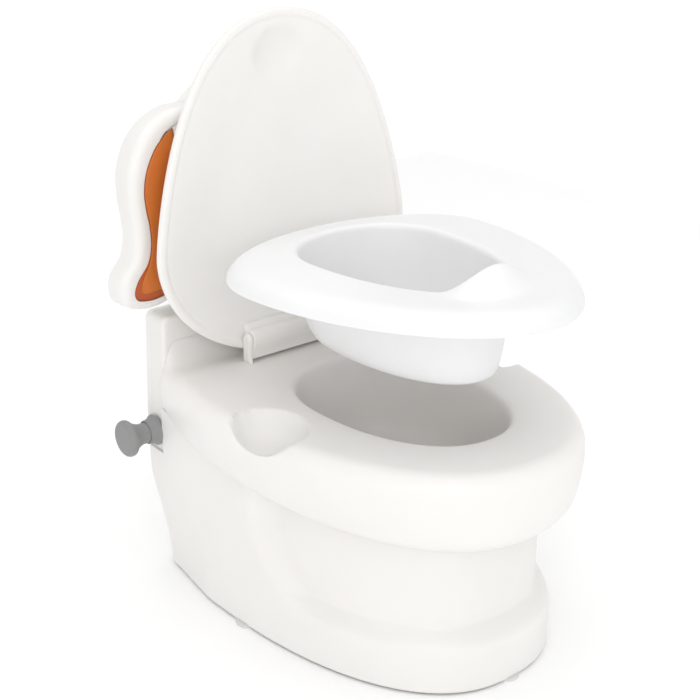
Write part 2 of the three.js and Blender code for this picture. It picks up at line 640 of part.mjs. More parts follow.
function earShape(side, outline, scaleX = 1, scaleZ = 1) {
  const [middleX, middleZ] = EAR_POCKET_MIDDLE;
  const points = outline.map(([x, z]) => {
    const scaled = [middleX + (x - middleX) * scaleX, middleZ + (z - middleZ) * scaleZ];
    return new THREE.Vector2(side * scaled[0], scaled[1]);
  });
  const curve = new THREE.SplineCurve([...points, points[0]]);
  return new THREE.Shape(curve.getPoints(48).slice(0, -1));
}

function earParts(side, name) {
  const bevel = { bevelEnabled: true, bevelThickness: EAR.bevel, bevelSize: EAR.bevel, bevelSegments: 2 };
  const head = plate(headShape(-GAP), EAR.front - 10, REAR_FACE + 10);
  const body = plate(earShape(side, EAR_OUTLINE), EAR.front + EAR.bevel, REAR_FACE - EAR.bevel, bevel);
  const pocket = plate(earShape(side, EAR_POCKET), EAR.front - 5, REAR_FACE - WALL);
  addMesh(`ear_frame_${name}`, "body", cut(body, head, pocket));
  const plateFront = EAR.front + EAR.inlayDepth;
  const inlay = plate(earShape(side, EAR_POCKET, 0.97, 0.99), plateFront, plateFront + EAR.inlayThickness);
  const raised = plate(earShape(side, EAR_POCKET, 0.74, 0.87), plateFront - 2, plateFront + 1);
  addMesh(`ear_inlay_${name}`, "orange", union(inlay, raised));
}

// ---------------------------------------------------------------- push knob on the left side of the tank
function knobParts() {
  const along = (radius, from, to, segments = 28) => rod("x", radius, -to, -from, KNOB.y, KNOB.z, segments);
  const wall = TANK.halfWidthLow + 0.2;
  const lathe = (profile) => {
    const geometry = new THREE.LatheGeometry(profile.map(([r, d]) => new THREE.Vector2(r, d)), 28);
    return solid(geometry.rotateZ(Math.PI / 2).translate(0, KNOB.y, KNOB.z));
  };
  const bushing = lathe([
    [0, wall], [KNOB.collar - 0.8, wall], [KNOB.collar, wall + 0.8], [KNOB.collar, wall + 2.6],
    [KNOB.collar - 1.6, wall + 4], [12.4, wall + 5], [11.8, wall + 12], [0, wall + 12],
  ]);
  const bore = union(along(KNOB.neck + 0.3, wall + 1.7, wall + 20), along(KNOB.shaft + 0.3, wall - 5, wall + 5));
  addMesh("knob_bushing", "knob", cut(bushing, bore));
  const neckEnd = wall + 1.7 + KNOB.travel + 3;
  const knob = lathe([
    [0, neckEnd], [KNOB.neck, neckEnd], [KNOB.neck, 154], [11.5, 158], [KNOB.disc - 3, 159.6],
    [KNOB.disc, 161.6], [KNOB.disc, 166], [KNOB.disc - 1.4, 168.6], [KNOB.disc - 4.5, KNOB.face], [0, KNOB.face],
  ]);
  const clipX = wall - WALL - 3;
  const shaft = along(KNOB.shaft, clipX - 9, neckEnd + 1, 20);
  const groove = cut(along(KNOB.shaft + 1, clipX - 1.3, clipX, 20), along(KNOB.shaft - 1, clipX - 3, clipX + 3, 20));
  addMesh("flush_knob", "knob", cut(union(knob, shaft), groove));
  addMesh("knob_clip", "steel", cut(along(7, clipX - 1.15, clipX - 0.15), along(KNOB.shaft - 0.8, clipX - 3, clipX + 3, 20)));
  const turns = 2.5;
  const springLength = KNOB.travel + 1.6;
  class Coil extends THREE.Curve {
    getPoint(t, target = new THREE.Vector3()) {
      const angle = 2 * Math.PI * turns * t;
      return target.set(-(wall + 2.4 + t * springLength), KNOB.y + 7.6 * Math.cos(angle), KNOB.z + 7.6 * Math.sin(angle));
    }
  }
  const wire = new THREE.Shape().absarc(0, 0, 0.4, 0, 2 * Math.PI);
  addMesh("knob_spring", "steel", solid(new THREE.ExtrudeGeometry(wire, { steps: 42, curveSegments: 3, bevelEnabled: false, extrudePath: new Coil() })));
}

// ---------------------------------------------------------------- assembly
addMesh("base_shell", "body", basePart());
addMesh("seat_shell", "body", seatPart());
footPlaces().forEach(([x, y], i) => {
  const name = ["front", "side_left", "side_right", "rear_left", "rear_right"][i];
  addMesh(`foot_pad_${name}`, "rubber", rod("z", FOOT.radius, 0, FOOT.height, x, y, 20));
});
addMesh("tank_front", "body", tankFrontPart());
addMesh("tank_back_cover", "body", tankBackPart());
soundUnit();
headParts();
earParts(-1, "left");
earParts(1, "right");
for (const group of SCREWS) eachScrew(group, (x, z, place) => addMesh(`${group.name}_${place}`, "steel", screwPart(x, z)));
addMesh("hinge_pin_left", "steel", hingePin(-1));
addMesh("hinge_pin_right", "steel", hingePin(1));
addMesh("lid", "body", lidPart());
addMesh("potty_insert", "insert", insertPart());
knobParts();

export default root;
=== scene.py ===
"""Looks for the potty training chair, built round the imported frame.

Metres, +Z up, the seat's front towards -Y. Profiles written as plain numbers are in millimetres.
"""

import json
import math

import bpy
import numpy as np
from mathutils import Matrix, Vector


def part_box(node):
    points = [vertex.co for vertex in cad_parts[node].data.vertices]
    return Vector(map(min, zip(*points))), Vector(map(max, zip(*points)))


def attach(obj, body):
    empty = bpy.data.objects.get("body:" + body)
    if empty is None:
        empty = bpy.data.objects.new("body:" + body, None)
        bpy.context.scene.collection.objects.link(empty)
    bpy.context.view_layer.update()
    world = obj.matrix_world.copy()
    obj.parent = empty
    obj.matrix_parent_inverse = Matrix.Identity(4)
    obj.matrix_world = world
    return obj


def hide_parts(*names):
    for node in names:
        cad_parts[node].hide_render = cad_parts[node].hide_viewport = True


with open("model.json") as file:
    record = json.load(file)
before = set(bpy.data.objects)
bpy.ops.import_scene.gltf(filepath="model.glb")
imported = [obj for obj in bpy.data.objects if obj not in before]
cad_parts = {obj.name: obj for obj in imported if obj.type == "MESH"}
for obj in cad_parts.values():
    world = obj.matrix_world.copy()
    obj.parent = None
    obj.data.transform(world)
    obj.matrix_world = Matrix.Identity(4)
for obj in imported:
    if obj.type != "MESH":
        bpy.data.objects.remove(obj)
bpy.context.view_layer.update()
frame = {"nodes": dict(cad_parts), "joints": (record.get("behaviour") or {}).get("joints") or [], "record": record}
JOINTS = {joint["name"]: joint for joint in frame["joints"]}
MM = 0.001
AROUND = 288  # points round each lofted section
SHARP_EDGE = math.radians(45)


# ---------------------------------------------------------------- small tools
def smooth(low, high, x):
    """0 below low, 1 above high, an S between them."""
    t = np.clip((np.asarray(x, float) - low) / (high - low), 0, 1)
    return t * t * (3 - 2 * t)


def mix(a, b, t):
    """a at t = 0, b at t = 1."""
    return a + (b - a) * t


def ramp(x, low, high, low_round, high_round):
    """0 below low, 1 above high, straight between, with each corner rounded over its own width."""
    corner = lambda t, width: 0.5 * (t + np.sqrt(t * t + width * width))
    return (corner(x - low, low_round) - corner(x - high, high_round)) / (high - low)


def soft_min(a, b, width):
    """The lower of two heights, with the corner between them rounded over width."""
    h = np.clip(0.5 + 0.5 * (b - a) / width, 0, 1)
    return mix(b, a, h) - width * h * (1 - h)


def super_cos(angle, power):
    """The across share of a superellipse's point; super_sin gives the other one."""
    return np.sign(np.cos(angle)) * np.abs(np.cos(angle)) ** (2 / power)


def super_sin(angle, power):
    return np.sign(np.sin(angle)) * np.abs(np.sin(angle)) ** (2 / power)


def oval(half_width, centre, front, rear, front_power, rear_power=None):
    """A closed outline from above: one superellipse in front, another behind, counter-clockwise from +X."""
    angle = np.linspace(0, 2 * np.pi, 2000, endpoint=False)
    ahead = np.sin(angle) < 0
    power = np.where(ahead, front_power, rear_power or front_power)
    reach = np.where(ahead, front, rear)
    return np.column_stack([half_width * super_cos(angle, power), centre + reach * super_sin(angle, power)])


def grown(shape, offset):
    """The outline of an oval's sizes, moved outwards by offset."""
    sizes = dict(shape)
    for key in ("half_width", "front", "rear"):
        sizes[key] += offset
    return oval(**sizes)


def body_outline(plan, inset=0.0, keep_rear=True):
    """A superellipse in front, tapering sides and a flat rear with round corners.

    inset moves the outline inwards, and keep_rear leaves the rear where it is.
    """
    half, centre = plan["half"] - inset, plan["centre"]
    rear = plan["rear"] - (0 if keep_rear else inset)
    angle = np.linspace(0, np.pi, 900)
    x = half * super_cos(angle, plan["power"])
    y = centre - (plan["front"] - inset) * np.abs(np.sin(angle)) ** (2 / plan["power"])
    corner = plan["corner"]
    side_y = np.linspace(centre, rear - corner, 300)
    share = (side_y - centre) / (plan["rear"] - centre)
    side_x = half - (plan["half"] - plan["rear_half"]) * share ** plan["taper"]
    turn = np.linspace(0, np.pi / 2, 90)
    corner_x = side_x[-1] - corner + corner * np.cos(turn)
    corner_y = rear - corner + corner * np.sin(turn)
    back = np.linspace(corner_x[-1], -corner_x[-1], 200)
    right = np.column_stack([np.r_[side_x, corner_x], np.r_[side_y, corner_y]])
    rear_line = np.column_stack([back, np.full_like(back, rear)])
    left = right[::-1] * [-1, 1]
    front = np.column_stack([-x, y])
    return np.vstack([right[1:], rear_line[1:-1], left[:-1], front[:-1]])


def evenly(outline, count=AROUND, start=0.0):
    """count points evenly spaced along a closed outline."""
    closed = np.vstack([outline, outline[:1]])
    length = np.r_[0, np.cumsum(np.linalg.norm(np.diff(closed, axis=0), axis=1))]
    at = (np.linspace(0, 1, count, endpoint=False) + start) % 1 * length[-1]
    return np.column_stack([np.interp(at, length, closed[:, k]) for k in range(closed.shape[1])])


def at_angles(outline, angles, centre):
    """The outline's points at these polar angles about centre: every section then has its points in line."""
    offset = outline - centre
    angle = np.arctan2(offset[:, 1], offset[:, 0]) % (2 * np.pi)
    order = np.argsort(angle)
    angle, radius = angle[order], np.hypot(*offset[order].T)
    angle = np.r_[angle - 2 * np.pi, angle, angle + 2 * np.pi]
    radius = np.interp(angles % (2 * np.pi), angle, np.tile(radius, 3))
    return centre + np.column_stack([radius * np.cos(angles), radius * np.sin(angles)])


def angles_of(outline, centre):
    """The polar angles about centre of points spaced evenly along an outline."""
    offset = evenly(outline) - centre
    return np.arctan2(offset[:, 1], offset[:, 0])


def level(outline, z):
    """An outline from above as a section at height z, one value or one for each point."""
    return np.column_stack([outline, np.broadcast_to(z, len(outline))])


def new_object(name, vertices, faces):
    """A smooth-shaded mesh object in the scene."""
    mesh = bpy.data.meshes.new(name)
    mesh.from_pydata([tuple(v) for v in vertices], [], faces)
    mesh.validate()
    mesh.shade_smooth()
    obj = bpy.data.objects.new(name, mesh)
    bpy.context.scene.collection.objects.link(obj)
    return obj


def loft(name, sections, cap_first=True, cap_last=True, flat_caps=False):
    """A skin through sections of equal point count, each end closed by a fan or by one flat face."""
    count = len(sections[0])
    vertices = np.vstack(sections)
    faces = []
    for k in range(len(sections) - 1):
        a, b = k * count, (k + 1) * count
        faces += [(a + i, a + (i + 1) % count, b + (i + 1) % count, b + i) for i in range(count)]
    for wanted, start, turned in ((cap_first, 0, True), (cap_last, (len(sections) - 1) * count, False)):
        if wanted and flat_caps:
            ring = list(range(start, start + count))
            faces.append(ring[::-1] if turned else ring)
        elif wanted:
            middle = len(vertices)
            vertices = np.vstack([vertices, vertices[start : start + count].mean(0)])
            edges = [(start + i, start + (i + 1) % count) for i in range(count)]
            faces += [(middle, b, a) if turned else (middle, a, b) for a, b in edges]
    return new_object(name, vertices, faces)


def between(first, last, steps):
    """Sections that pass from one to another, without either end."""
    return [mix(first, last, t) for t in np.linspace(0, 1, steps + 2)[1:-1]]


def quarter(steps, start=0.0, end=1.0):
    """Pairs round a quarter circle of radius 1: how far in from its side, how far down from its top."""
    turns = np.linspace(start, end, steps) * np.pi / 2
    return [(1 - math.sin(a), 1 - math.cos(a)) for a in turns]


def shown(obj, body, slot, material, *nodes):
    """obj stands for these CAD nodes, moves with that body and takes that finish."""
    obj.data.materials.clear()
    obj.data.materials.append(material)
    obj.data.set_sharp_from_angle(angle=SHARP_EDGE)
    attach(obj, body)
    if nodes:
        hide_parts(*nodes)
    return obj


# ---------------------------------------------------------------- materials
class Nodes:
    """Builds one material's node tree."""

    def __init__(self, name):
        self.material = bpy.data.materials.new(name)
        self.material.use_nodes = True
        self.tree = self.material.node_tree
        self.tree.nodes.clear()
        self.shader = self.add("ShaderNodeBsdfPrincipled")
        self.out = self.add("ShaderNodeOutputMaterial")
        self.link(self.shader.outputs["BSDF"], self.out.inputs["Surface"])
        self.place = self.add("ShaderNodeTexCoord").outputs["Object"]

    def add(self, kind, **settings):
        node = self.tree.nodes.new(kind)
        for key, value in settings.items():
            setattr(node, key, value)
        return node

    def link(self, source, target):
        self.tree.links.new(source, target)

    def noise(self, scale, detail=4, roughness=0.55):
        node = self.add("ShaderNodeTexNoise")
        self.link(self.place, node.inputs["Vector"])
        for key, value in (("Scale", scale), ("Detail", detail), ("Roughness", roughness)):
            node.inputs[key].default_value = value
        return node.outputs["Fac"]

    def ramp(self, value, low, high, colours):
        """value from low to high becomes the first colour to the last."""
        node = self.add("ShaderNodeValToRGB")
        node.color_ramp.elements[0].position = low
        node.color_ramp.elements[1].position = high
        node.color_ramp.elements[0].color = (*colours[0], 1)
        node.color_ramp.elements[1].color = (*colours[1], 1)
        self.link(value, node.inputs["Fac"])
        return node.outputs["Color"]

    def span(self, value, low, high):
        """value from 0 to 1 becomes low to high."""
        node = self.add("ShaderNodeMapRange")
        node.inputs["To Min"].default_value = low
        node.inputs["To Max"].default_value = high
        self.link(value, node.inputs["Value"])
        return node.outputs["Result"]

    def bump(self, height, strength, distance, under=None):
        node = self.add("ShaderNodeBump")
        node.inputs["Strength"].default_value = strength
        node.inputs["Distance"].default_value = distance
        self.link(height, node.inputs["Height"])
        if under is not None:
            self.link(under, node.inputs["Normal"])
        return node.outputs["Normal"]


def moulded_plastic(name, colour, roughness, grain=0.04, coat=0.0, scatter=0.0):
    """Injection-moulded plastic: flow shades, uneven gloss, a sink-and-grain surface."""
    n = Nodes(name)
    darker = tuple(c * 0.965 for c in colour)
    n.link(n.ramp(n.noise(9, 3), 0.3, 0.7, [darker, colour]), n.shader.inputs["Base Color"])
    n.link(n.span(n.noise(26, 5), roughness - 0.05, roughness + 0.06), n.shader.inputs["Roughness"])
    waves = n.bump(n.noise(14, 1), 0.10, 0.0012)
    surface = n.bump(n.noise(1500, 3), grain, 0.0002, waves) if grain else waves
    n.link(surface, n.shader.inputs["Normal"])
    n.shader.inputs["IOR"].default_value = 1.49
    n.shader.inputs["Coat Weight"].default_value = coat
    n.shader.inputs["Coat Roughness"].default_value = 0.3
    if scatter:
        n.shader.inputs["Subsurface Weight"].default_value = scatter
        n.shader.inputs["Subsurface Radius"].default_value = (0.006, 0.005, 0.004)
        n.shader.inputs["Subsurface Scale"].default_value = 1.0
    return n.material


def metal(name, colour, roughness):
    """Zinc-plated steel with fine streaks."""
    n = Nodes(name)
    streak = n.noise(700, 4, 0.7)
    darker = tuple(c * 0.85 for c in colour)
    n.link(n.ramp(streak, 0.35, 0.65, [darker, colour]), n.shader.inputs["Base Color"])
    n.link(n.span(streak, roughness - 0.08, roughness + 0.1), n.shader.inputs["Roughness"])
    n.link(n.bump(streak, 0.05, 0.0001), n.shader.inputs["Normal"])
    n.shader.inputs["Metallic"].default_value = 1.0
    return n.material


BODY = moulded_plastic("body_plastic", (0.865, 0.85, 0.825), 0.42, grain=0.03, coat=0.04, scatter=0.06)
INSERT = moulded_plastic("insert_plastic", (0.85, 0.85, 0.855), 0.34, grain=0, scatter=0.08)
ORANGE = moulded_plastic("orange_plastic", (0.62, 0.165, 0.022), 0.5, grain=0.12)
ORANGE_DARK = moulded_plastic("orange_border", (0.50, 0.11, 0.028), 0.55, grain=0.12)
GREY = moulded_plastic("knob_plastic", (0.27, 0.27, 0.27), 0.5, grain=0.06)
RUBBER = moulded_plastic("pad_rubber", (0.70, 0.69, 0.67), 0.85, grain=0.3)
DARK = moulded_plastic("dark_plastic", (0.03, 0.032, 0.036), 0.55)
BOARD = moulded_plastic("board_mask", (0.03, 0.14, 0.06), 0.35)
STEEL = metal("zinc_steel", (0.62, 0.63, 0.65), 0.32)


# ---------------------------------------------------------------- sizes from the frame
seat_low, seat_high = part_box("seat_shell")
base_low, base_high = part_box("base_shell")
lid_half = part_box("lid")[1].x
tank_low, tank_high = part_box("tank_front")
tank_back_low, tank_back_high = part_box("tank_back_cover")
head_low, head_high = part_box("head_panel")
head_back_low, head_back_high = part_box("head_back_cover")
hinge_y, hinge_z = JOINTS["lid_hinge"]["pos_m"][1:]

DECK = 220 * MM
LIFT = -JOINTS["insert_lift"]["range_m"][0]
SEAT_FRONT = 262 * MM  # from the seat's front edge back to its widest line
SEAT_PLAN = {
    "half": seat_high.x,
    "centre": seat_low.y + SEAT_FRONT,
    "front": SEAT_FRONT,
    "power": 2.22,
    "rear": seat_high.y,
    "rear_half": 136.5 * MM,
    "corner": 6 * MM,
    "taper": 1.35,
}
HOLE = dict(half_width=76.2 * MM, centre=-5.4 * MM, front=126.5 * MM, rear=87 * MM, front_power=2.22)
SEAT_CENTRE = np.array([0, HOLE["centre"]])


# ---------------------------------------------------------------- pedestal
PLINTH_FRONT = 271.6 * MM  # from the plinth's front edge back to its widest line
PLINTH_LEDGE = (47 * MM, 60 * MM)
COLUMN_RECESS = 16 * MM
COLLAR_UNDER = 144 * MM


def collar_under(y):
    """Height of the seat's underside: it rises a little towards the rear."""
    return COLLAR_UNDER + 0.04 * (y - seat_low.y)


def plinth_plan(z):
    """The pedestal's outline at height z, as the sizes that body_outline takes."""
    t = float(smooth(0, 120 * MM, z))
    return {
        "half": base_high.x,
        "centre": base_low.y + PLINTH_FRONT,
        "front": PLINTH_FRONT,
        "power": 2.4,
        "rear": base_high.y,
        "rear_half": mix(121, 134, t) * MM,
        "corner": mix(32, 6, t) * MM,
        "taper": 1.0,
    }


def column_recess(y, z):
    """How far the column stands behind the plinth: nothing below the ledge or behind a crease down to it."""
    rise = float(np.clip(ramp(z, *PLINTH_LEDGE, 4 * MM, 2.5 * MM), 0, 1))
    down = np.clip((122 * MM - z) / (67 * MM), 0, 1)
    crease = mix(16 * MM, -30 * MM, down**1.6)
    return COLUMN_RECESS * rise * (1 - smooth(crease - 24 * MM, crease + 20 * MM, y))


def base_section(z, inset=0.0, top=None):
    """The pedestal's section at height z. top(outline) gives a height for each of its points instead."""
    plan = plinth_plan(z)
    outline = evenly(body_outline(plan, inset, keep_rear=False), start=0.5)
    centre = np.array([0, plan["centre"]])
    arm = outline - centre
    arm[:, 1] = np.minimum(arm[:, 1], 0)
    length = np.hypot(arm[:, 0], arm[:, 1])
    share = column_recess(outline[:, 1], z) / np.maximum(length, MM)
    outline = outline - arm * share[:, None]
    return level(outline, z if top is None else top(outline))


# the seat's rounded underside, as (inset from its outline, height)
UNDERSIDE = [(26, 4), (24, 1), (21, 0), (18, 0.2), (15, 1.5), (12, 3.8)]
UNDERSIDE += [(9.5, 6.6), (7.2, 10), (5.2, 14.5), (3.6, 20)]


def under_the_seat(outline):
    """Height of the seat's rounded underside right above the points of an outline."""
    rim = body_outline(SEAT_PLAN)
    apart = outline[:, None] - rim[None]
    away = np.hypot(apart[..., 0], apart[..., 1]).min(1)
    arm = outline - SEAT_CENTRE
    rim_arm = at_angles(rim, angles_of(outline, SEAT_CENTRE), SEAT_CENTRE) - SEAT_CENTRE
    within = np.hypot(*arm.T) < np.hypot(*rim_arm.T)
    insets, rises = np.array(UNDERSIDE[:1:-1]).T * MM
    return collar_under(outline[:, 1]) + np.interp(np.where(within, away, 0), insets, rises)


def make_base():
    """The pedestal: plinth, column and the rear block, cut away where the tank stands."""
    floor = base_low.z - 1.2 * MM  # the edge hides all but the underside of the pads
    heights = [floor + h * MM for h in (0.0, 0.5, 1.6, 3.5, 8, 16, 26)]
    heights += list(np.r_[32, 38, np.arange(41, 68, 1), np.arange(69, 142, 2)] * MM)
    sections = [base_section(floor + 12 * MM, 4 * MM), base_section(floor, 3.2 * MM)]
    sections += [base_section(h, max(0.0, 1.6 - k * 0.8) * MM) for k, h in enumerate(heights)]
    edge = lambda outline: under_the_seat(outline) - 0.2 * MM
    sections += [base_section(COLLAR_UNDER, inset * MM, edge) for inset in (0, 3, 40)]
    base = loft("visual_base", sections, cap_first=False, cap_last=False)
    beyond = 0.4  # past the pedestal on every side
    corner = (-beyond, tank_low.y - 0.1 * MM, tank_low.z - 0.1 * MM)
    notch = box_solid("notch", corner, (beyond, beyond, beyond))
    carve(base, notch)
    shown(base, "base", "body", BODY, "base_shell")


def box_solid(name, low, high, bevel=0.0):
    """A box between two corners, with rounded edges."""
    bpy.ops.mesh.primitive_cube_add(size=1)
    obj = bpy.context.object
    obj.name = name
    low, high = Vector(low), Vector(high)
    obj.scale = high - low
    obj.location = (low + high) / 2
    bpy.ops.object.transform_apply(location=True, rotation=True, scale=True)
    if bevel:
        modifier = obj.modifiers.new("edge", "BEVEL")
        modifier.width = bevel
        modifier.segments = 4
        bpy.ops.object.modifier_apply(modifier=modifier.name)
        obj.data.shade_smooth()
    return obj


def carve(obj, cutter):
    """Cuts the cutter out of obj, and drops the cutter."""
    modifier = obj.modifiers.new("cut", "BOOLEAN")
    modifier.operation = "DIFFERENCE"
    modifier.object = cutter
    modifier.solver = "EXACT"
    bpy.context.view_layer.objects.active = obj
    bpy.ops.object.modifier_apply(modifier=modifier.name)
    bpy.data.objects.remove(cutter)


# ---------------------------------------------------------------- seat: collar, deck, scoops, well and cove
SCOOP = {"x": 131 * MM, "y": 1 * MM, "half_x": 31 * MM, "half_y": 37 * MM, "depth": 24 * MM}


def from_scoop(x, y):
    """Squared distance from the nearer finger scoop's middle, 1 at its edge."""
    return ((np.abs(x) - SCOOP["x"]) / SCOOP["half_x"]) ** 2 + ((y - SCOOP["y"]) / SCOOP["half_y"]) ** 2


def scoop_surface(away):
    """Height of the finger scoops' ellipsoid bottoms, high above the deck away from them."""
    inside = np.sqrt(np.clip(1 - away, 0, 1))
    return DECK - SCOOP["depth"] * inside + 30 * MM * np.clip(away - 1, 0, 2)


def seat_relief(v):
    """The deck's cove up to the tank and its two finger scoops, as a change of height."""
    x, y, z = v.T
    run, rise = 18 * MM, 23 * MM
    t = np.clip((y - (seat_high.y - run)) / run, 0, 1)
    cove = rise * (1 - np.sqrt(1 - t**2)) * (1 - smooth(116 * MM, 136 * MM, np.abs(x)))
    lifted = z + cove * smooth(186 * MM, DECK, z)
    near = smooth(150 * MM, 196 * MM, z)
    away = from_scoop(x, y)
    scooped = soft_min(lifted, scoop_surface(away), 7 * MM)
    out = v.copy()
    out[:, 2] = np.where((away < 2.2) & (np.abs(x) > 84 * MM), mix(lifted, scooped, near), lifted)
    return out


def make_seat():
    """The seat's shell, as one skin from the rim of its underside to the bottom of its well."""
    angles = angles_of(body_outline(SEAT_PLAN), SEAT_CENTRE)
    ring = lambda outline, z: level(at_angles(outline, angles, SEAT_CENTRE), z)
    side = lambda inset, z: ring(body_outline(SEAT_PLAN, inset * MM), z)
    sections = []
    for inset, rise in UNDERSIDE:
        section = side(inset, 0)
        section[:, 2] = collar_under(section[:, 1]) + rise * MM
        sections.append(section)
    shoulder = [(0, 200), (0.25, 204), (0.9, 207.5), (2, 211), (3.6, 214), (5.6, 216.4)]
    shoulder += [(8, 218.2), (11, 219.4), (14.5, 220)]
    first = side(shoulder[0][0], shoulder[0][1] * MM)
    lower = sections[-1]
    for t in np.linspace(0, 1, 9)[1:-1]:
        section = mix(lower, first, t)
        section[:, :2] = mix(lower, first, 1 - (1 - t) ** 2)[:, :2]
        sections.append(section)
    sections += [side(inset, z * MM) for inset, z in shoulder]
    lip = ring(grown(HOLE, 7 * MM), DECK)
    sections += between(sections[-1], lip, 34)
    mouth = [(7, 220), (5, 219.7), (3.2, 218.8), (1.8, 217.2), (0.8, 215), (0.2, 212), (-0.2, 206)]
    mouth += [(-0.6, 190), (-1.2, 172), (-2.4, 158)]
    mouth += [(-4.5, 148), (-8, 141), (-13, 136.6), (-20, 134.4), (-30, 134), (-48, 134)]
    sections += [ring(grown(HOLE, o * MM), z * MM) for o, z in mouth]
    sections = [seat_relief(s) for s in sections]
    seat = loft("visual_seat", sections, cap_first=False)
    shown(seat, "base", "body", BODY, "seat_shell")


# ---------------------------------------------------------------- hinge cheeks and pins
def lathe(name, axis_point, axis, profile, steps=64):
    """A solid turned about an axis from (radius, distance) pairs."""
    direction = Vector(axis).normalized()
    rotation = Vector((0, 0, 1)).rotation_difference(direction)
    turn = np.linspace(0, 2 * np.pi, steps, endpoint=False)
    sections = []
    for radius, distance in profile:
        ring = [rotation @ Vector((radius * math.cos(a), radius * math.sin(a), distance)) for a in turn]
        sections.append(np.array(ring) + np.array(axis_point))
    return loft(name, sections)


CHEEK_INNER = 58.6 * MM  # from the middle to the cheeks' inner faces
BARREL = 8.5 * MM  # radius of the lid's knuckle


def hump_outline(top, front, rear, low, flare):
    """A cheek seen from the side, as (y, z): round over the pin, its front curving down to the deck."""
    over = np.radians(np.linspace(0, 90, 30))
    points = [(hinge_y + top * math.cos(a), hinge_z + top * math.sin(a)) for a in over]
    for a in np.radians(np.linspace(90, 186, 40)[1:]):
        reach = mix(top, front, float(smooth(math.radians(90), math.radians(170), a)))
        points.append((hinge_y + reach * math.cos(a), hinge_z + reach * math.sin(a)))
    y, z = points[-1]
    for t in np.linspace(0, 1, 24)[1:]:
        points.append((y + 2.2 * MM * t - flare * t**6, mix(z, low, t)))
    points.append((rear, low))
    return np.array(points)


def make_hinge():
    """Two slim cheeks that grow out of the deck, with the pins hidden in blind bores."""
    for side, name in ((-1, "left"), (1, "right")):
        low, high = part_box(f"hinge_pin_{name}")
        radius, length = (high.z - low.z) / 2, high.x - low.x
        outer = max(abs(low.x), abs(high.x))
        profile = [(0.2 * MM, 0), (radius - 0.5 * MM, 0), (radius, -0.5 * MM), (radius, 0.5 * MM - length)]
        profile += [(radius - 0.5 * MM, -length), (0.2 * MM, -length)]
        pin = lathe(f"visual_hinge_pin_{name}", (side * outer, hinge_y, hinge_z), (side, 0, 0), profile)
        shown(pin, "base", "steel", STEEL, f"hinge_pin_{name}")

        outline = evenly(hump_outline(5.8 * MM, 6 * MM, hinge_y + 5.8 * MM, DECK - MM, 2 * MM), 200)
        middle = np.array([hinge_y, hinge_z - 10 * MM])
        edge = [(4, 0), (0.4, 0), (0, 0.4), (0, 1.4), (0.2, 2.2), (0.7, 2.9), (1.4, 3.5), (2.4, 3.9), (4, 4)]
        sections = []
        for inset, x in edge:
            shrunk = middle + (outline - middle) * (1 - inset / 14)
            sections.append(np.column_stack([np.full(len(shrunk), CHEEK_INNER + x * MM), shrunk]))
        cheek = loft(f"visual_cheek_{name}", [s * [side, 1, 1] for s in sections])
        shown(cheek, "base", "body", BODY)


# ---------------------------------------------------------------- tank, head and their covers
def tank_outline(inset):
    """The tank seen from the front, as (x, z)."""
    low, high = tank_low.z, tank_high.z - inset
    wide, narrow = tank_high.x - inset, tank_high.x - 5 * MM - inset
    corner, sharp = 7 * MM, 0.6 * MM
    points = []
    for cx, cz, start in (
        (narrow - corner, high - corner, 0),
        (-narrow + corner, high - corner, 90),
        (-wide + sharp, low + sharp, 180),
        (wide - sharp, low + sharp, 270),
    ):
        r = corner if cz > (low + high) / 2 else sharp
        for a in np.radians(np.linspace(start, start + 90, 16)):
            points.append((cx + r * math.cos(a), cz + r * math.sin(a)))
    return evenly(np.array(points))


HEAD_SHOULDER = 395 * MM
HEAD_POWER = 2.6


def head_half_at(z):
    """The head panel's half width at that height."""
    t = np.clip((z - HEAD_SHOULDER) / (head_high.z - HEAD_SHOULDER), 0, 1)
    return head_high.x * (1 - t**HEAD_POWER) ** (1 / HEAD_POWER)


def head_outline(inset):
    """The head panel seen from the front, as (x, z)."""
    half = head_high.x - inset
    angle = np.linspace(0, np.pi, 400)
    x = half * super_cos(angle, HEAD_POWER)
    z = HEAD_SHOULDER + (head_high.z - inset - HEAD_SHOULDER) * np.sin(angle) ** (2 / HEAD_POWER)
    low = head_low.z + inset
    right = [(half, mix(low, HEAD_SHOULDER, t)) for t in np.linspace(0, 1, 60)]
    left = [(-a, b) for a, b in right[::-1]]
    return evenly(np.array(right + list(zip(x[1:-1], z[1:-1])) + left))


def slab(name, outline, front, rear, front_round, rear_round):
    """A plate from front to rear whose edges are rounded by those radii; outline(inset) gives its shape."""
    steps = [(front_round * inset, front + front_round * drop) for inset, drop in quarter(7)]
    steps += [(rear_round * inset, rear - rear_round * drop) for inset, drop in quarter(7, 1, 0)]
    flat = 6 * MM
    rings = []
    for inset, y in [(front_round + flat, front)] + steps + [(rear_round + flat, rear)]:
        shape = outline(inset)
        rings.append(np.column_stack([shape[:, 0], np.full(len(shape), y), shape[:, 1]]))
    return loft(name, rings, flat_caps=True)


SEAM = 0.2 * MM  # half the gap between a front and its rear cover


